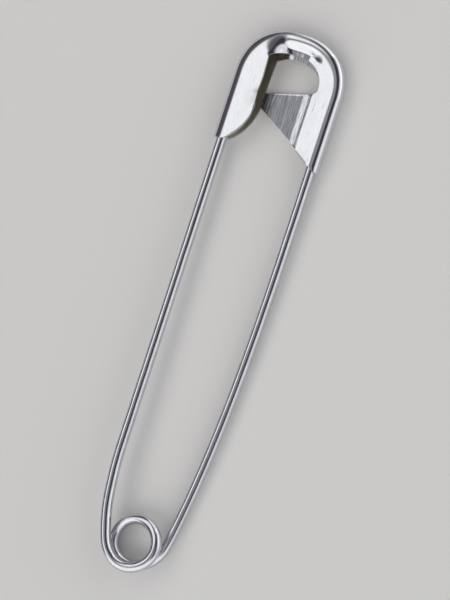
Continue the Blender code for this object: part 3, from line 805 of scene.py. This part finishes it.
def metal_material(name, vector_of, streak_scales, colours, roughness, bump_depth, inside=None):
    """Metal with drawing lines, smudges, fine scratches and small pits, and painted shade inside the
    open channel when inside colours are given.

    vector_of makes the coordinate socket, in millimetres, and streak_scales stretch the lines along it.
    """
    material = bpy.data.materials.new(name)
    material.use_nodes = True
    tree = material.node_tree
    shader = tree.nodes["Principled BSDF"]
    shader.inputs["Metallic"].default_value = 1.0
    vector = vector_of(tree)
    fine_scales = [FINE_STREAKS * scale for scale in streak_scales]
    broad = noise(tree, stretched(tree, vector, streak_scales), 1.0, 2.0, 0.5)
    streaks = noise(tree, stretched(tree, vector, fine_scales), 1.0, 4.0)
    smudges = noise(tree, vector, SMUDGE_SCALE, 4.0)
    line_share = ramp(tree, streaks, LINE_STOPS)
    smudge_share = ramp(tree, smudges, SMUDGE_STOPS)
    lined = mixed(tree, line_share, colours[0], colours[1])
    smudged = mixed(tree, ranged(tree, smudge_share, 0.0, SMUDGE_TONE), lined, colours[1])
    crossed = add(
        tree,
        "Mapping",
        {"Rotation": (0.0, 0.0, SCRATCH_TURN), "Scale": SCRATCH_SCALES},
        {"Vector": vector},
    )
    scratches = ramp(tree, noise(tree, crossed.outputs["Vector"], 1.0, 2.0), SCRATCH_STOPS)
    pits = ramp(tree, noise(tree, vector, PIT_SCALE, 1.0), PIT_STOPS)
    worn = add(tree, "Math", links={0: scratches, 1: pits}, operation="MAXIMUM").outputs["Value"]
    toned = mixed(tree, ranged(tree, worn, 0.0, WORN_TONE), smudged, WORN_STEEL)
    # Painted shade: where the fold stands open, the inside faces take the darker olive tones in place of
    # the plate
    if inside:
        channel = add(tree, "Attribute", attribute_name="channel").outputs["Fac"]
        toned = mixed(tree, channel, toned, mixed(tree, line_share, inside[0], inside[1]))
        dulled = add(tree, "Math", {1: INSIDE_DULLNESS}, {0: channel}, operation="MULTIPLY")
    tree.links.new(toned, shader.inputs["Base Color"])
    rough = add(tree, "Math", operation="ADD")
    tree.links.new(ranged(tree, streaks, roughness[0], roughness[1]), rough.inputs[0])
    marks = add(tree, "Math", links={0: smudge_share, 1: worn}, operation="ADD").outputs["Value"]
    tree.links.new(ranged(tree, marks, 0.0, MARK_ROUGHNESS), rough.inputs[1])
    if inside:
        terms = {0: rough.outputs["Value"], 1: dulled.outputs["Value"]}
        rough = add(tree, "Math", links=terms, operation="ADD")
    tree.links.new(rough.outputs["Value"], shader.inputs["Roughness"])
    waves = add(tree, "Bump", {"Strength": 1.0, "Distance": bump_depth}, {"Height": broad})
    lines = add(
        tree,
        "Bump",
        {"Strength": 1.0, "Distance": bump_depth * FINE_BUMP_SHARE},
        {"Height": streaks, "Normal": waves.outputs["Normal"]},
    )
    dents = add(
        tree,
        "Bump",
        {"Strength": 1.0, "Distance": WEAR_DEPTH},
        {"Height": worn, "Normal": lines.outputs["Normal"]},
        invert=True,
    )
    tree.links.new(dents.outputs["Normal"], shader.inputs["Normal"])
    return material


def object_millimetres(tree):
    coordinates = add(tree, "TexCoord").outputs["Object"]
    return stretched(tree, coordinates, (1 / MM, 1 / MM, 1 / MM))


def wire_coordinates(tree):
    return add(tree, "UVMap", uv_map="wire").outputs["UV"]


def make_guard(materials, place):
    guard = bpy.data.objects.new("guard", guard_sheet())
    bpy.context.scene.collection.objects.link(guard)
    for material in materials:
        guard.data.materials.append(material)
    thick = guard.modifiers.new("sheet", "SOLIDIFY")
    thick.thickness = SHEET_THICKNESS
    thick.offset = 0
    thick.use_even_offset = True
    thick.material_offset = 1
    thick.material_offset_rim = 2
    edges = guard.modifiers.new("cut edges", "BEVEL")
    edges.width = CUT_EDGE_RADIUS
    edges.segments = 3
    edges.limit_method = "ANGLE"
    edges.angle_limit = math.radians(SHARP_DEGREES)
    guard.data.shade_smooth()
    even = guard.modifiers.new("even shading", "WEIGHTED_NORMAL")
    even.keep_sharp = True
    guard.data.transform(place)
    return guard


def area_light(name, direction, distance, size, radiance):
    """A soft panel that faces the pin from a direction, as bright as its radiance says."""
    light = bpy.data.lights.new(name, "AREA")
    light.shape = "RECTANGLE"
    light.size, light.size_y = size
    light.energy = radiance * PANEL_WATTS * size[0] * size[1]
    lamp = bpy.data.objects.new(name, light)
    bpy.context.scene.collection.objects.link(lamp)
    back = Vector(direction).normalized()
    lamp.location = back * distance
    lamp.rotation_euler = back.to_track_quat("Z", "Y").to_euler()
    return lamp


def leaning(degrees, ahead_degrees=0.0):
    """The direction that leans from straight up towards +X, and then towards +Y."""
    across, ahead = math.radians(degrees), math.radians(ahead_degrees)
    return (math.sin(across) * math.cos(ahead), math.sin(ahead), math.cos(across) * math.cos(ahead))


def along(tree, direction, side):
    """How far the direction of view goes along a side."""
    made = add(tree, "VectorMath", {1: side}, {0: direction}, operation="DOT_PRODUCT")
    return made.outputs["Value"]


def faded(tree, source, ends):
    """0 at the first end and 1 at the second, with soft ends."""
    made = add(
        tree,
        "MapRange",
        {"From Min": ends[0], "From Max": ends[1]},
        {"Value": source},
        interpolation_type="SMOOTHSTEP",
    )
    return made.outputs["Result"]


def make_world():
    """A pale room with a dark band overhead, a grey field round it and a dark left horizon."""
    world = bpy.data.worlds.new("room")
    bpy.context.scene.world = world
    world.use_nodes = True
    tree = world.node_tree
    direction = add(tree, "TexCoord").outputs["Generated"]
    sides = add(tree, "SeparateXYZ", links={"Vector": direction})
    x, y, z = leaning(*DARK_CENTRE)
    rotation = (math.atan2(y, z), -math.atan2(x, math.hypot(y, z)), math.radians(DARK_TURN))
    turned = add(tree, "Mapping", {"Rotation": rotation}, {"Vector": direction})
    apart = add(tree, "SeparateXYZ", links={"Vector": turned.outputs["Vector"]})
    flat = add(
        tree,
        "VectorMath",
        {1: (1.0, DARK_LENGTH_SCALE, 0.0)},
        {0: turned.outputs["Vector"]},
        operation="MULTIPLY",
    )
    away = add(tree, "VectorMath", links={"Vector": flat.outputs["Vector"]}, operation="LENGTH")
    behind = add(tree, "Math", {1: 0.0}, {0: apart.outputs["Z"]}, operation="LESS_THAN")
    far = add(
        tree,
        "Math",
        links={0: away.outputs["Value"], 1: behind.outputs["Value"]},
        operation="ADD",
    )
    field = ramp(tree, far.outputs["Value"], FIELD_STOPS)
    shadow = ramp(tree, far.outputs["Value"], SHADOW_STOPS)
    window = faded(tree, along(tree, direction, WINDOW_SIDE), WINDOW_FADE)
    open_field = mixed(tree, window, field, WHITE)
    overhead = mixed(tree, shadow, BLACK, open_field)
    left = faded(tree, along(tree, direction, LEFT_SIDE), LEFT_FADE)
    low = faded(tree, sides.outputs["Z"], HORIZON_FADE)
    lit = add(tree, "Math", links={0: left, 1: low}, operation="MAXIMUM").outputs["Value"]
    near = faded(tree, sides.outputs["Y"], NEAR_FADE)
    room = mixed(tree, near, overhead, WHITE)
    colour = mixed(tree, lit, LEFT_HORIZON, room)
    background = tree.nodes["Background"]
    background.inputs["Strength"].default_value = ROOM_LEVEL
    tree.links.new(colour, background.inputs["Color"])


def make_floor():
    mesh = bpy.data.meshes.new("floor")
    corners = ((-1, -1), (1, -1), (1, 1), (-1, 1))
    points = [(FLOOR_HALF * x, FLOOR_HALF * y, FLOOR_LEVEL) for x, y in corners]
    mesh.from_pydata(points, [], [(0, 1, 2, 3)])
    floor = bpy.data.objects.new("floor", mesh)
    bpy.context.scene.collection.objects.link(floor)
    material = bpy.data.materials.new("floor")
    material.use_nodes = True
    shader = material.node_tree.nodes["Principled BSDF"]
    shader.inputs["Base Color"].default_value = (*FLOOR_COLOUR, 1.0)
    shader.inputs["Roughness"].default_value = 0.9
    mesh.materials.append(material)


def make_camera(coil_centre):
    tilt = math.radians(CAMERA_TILT_DEGREES)
    back = Vector((math.sin(tilt), 0, math.cos(tilt)))
    across = Vector((math.cos(tilt), 0, -math.sin(tilt)))
    ahead = Vector((0, 1, 0))
    up = ahead * CAMERA_TURN[1] - across * CAMERA_TURN[0]
    target = coil_centre + across * VIEW_FROM_COIL[0] + ahead * VIEW_FROM_COIL[1]
    data = bpy.data.cameras.new("camera")
    data.sensor_width = SENSOR
    data.lens = SENSOR * CAMERA_DISTANCE / (IMAGE_HEIGHT_PIXELS / PIXELS_PER_MM * MM)
    data.clip_start, data.clip_end = 0.01, 20.0
    camera = bpy.data.objects.new("camera", data)
    bpy.context.scene.collection.objects.link(camera)
    camera.location = target + back * CAMERA_DISTANCE
    right = up.cross(back)
    camera.rotation_euler = Matrix((right, up, back)).transposed().to_euler()
    bpy.context.scene.camera = camera


def main():
    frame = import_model()
    swing = next(joint for joint in frame["joints"] if joint["name"] == "arm_swing")
    coil_centre = Vector(swing["pos_m"])
    place = Matrix.Translation(coil_centre + Vector((COIL_OFFSET, 0, 0)))
    wire_metal = metal_material(
        "plated_wire", wire_coordinates, WIRE_STREAKS, (PLATE, PLATE_SHADE), (0.07, 0.18), 0.004 * MM
    )
    sheet_metal = metal_material(
        "plated_sheet", object_millimetres, SHEET_STREAKS, (PLATE, SOFT_SHADE), (0.07, 0.12), 0.0009 * MM
    )
    # The sheet's inside faces take painted shade, in darker olive tones, where the fold stands open as a
    # channel
    inner_metal = metal_material(
        "sheet_inside",
        object_millimetres,
        SHEET_STREAKS,
        (PLATE, WEB_SHADE),
        (0.08, 0.22),
        0.006 * MM,
        (CHANNEL_PAINTED_SHADE, CHANNEL_PAINTED_DEEP_SHADE),
    )
    edge_metal = metal_material(
        "cut_edge", object_millimetres, EDGE_STREAKS, (CUT_STEEL, PLATE_SHADE), (0.20, 0.40), 0.004 * MM
    )
    guard = make_guard((sheet_metal, inner_metal, edge_metal), place)
    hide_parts("cap")
    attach(guard, "fixed_side")
    fixed, turn, bend, arm = make_wire(wire_metal, place)
    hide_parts("spine_wire")
    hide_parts("coil_spring")
    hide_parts("arm_root")
    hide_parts("pin_arm")
    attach(fixed, "fixed_side")
    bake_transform(turn)
    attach(bend, "arm_bend")
    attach(arm, "arm")
    make_floor()
    make_world()
    area_light("left_panel", leaning(-42.5), PANEL_DISTANCE, (2.6, 0.85), 0.10)
    area_light("right_panel", leaning(65, 20), PANEL_DISTANCE, (2.8, 0.85), 1.35)
    area_light("near_panel", (-0.25, -0.85, 0.55), PANEL_DISTANCE, (1.4, 0.8), 0.25)
    make_camera(coil_centre)
    bpy.context.scene.view_settings.view_transform = "Standard"


main()
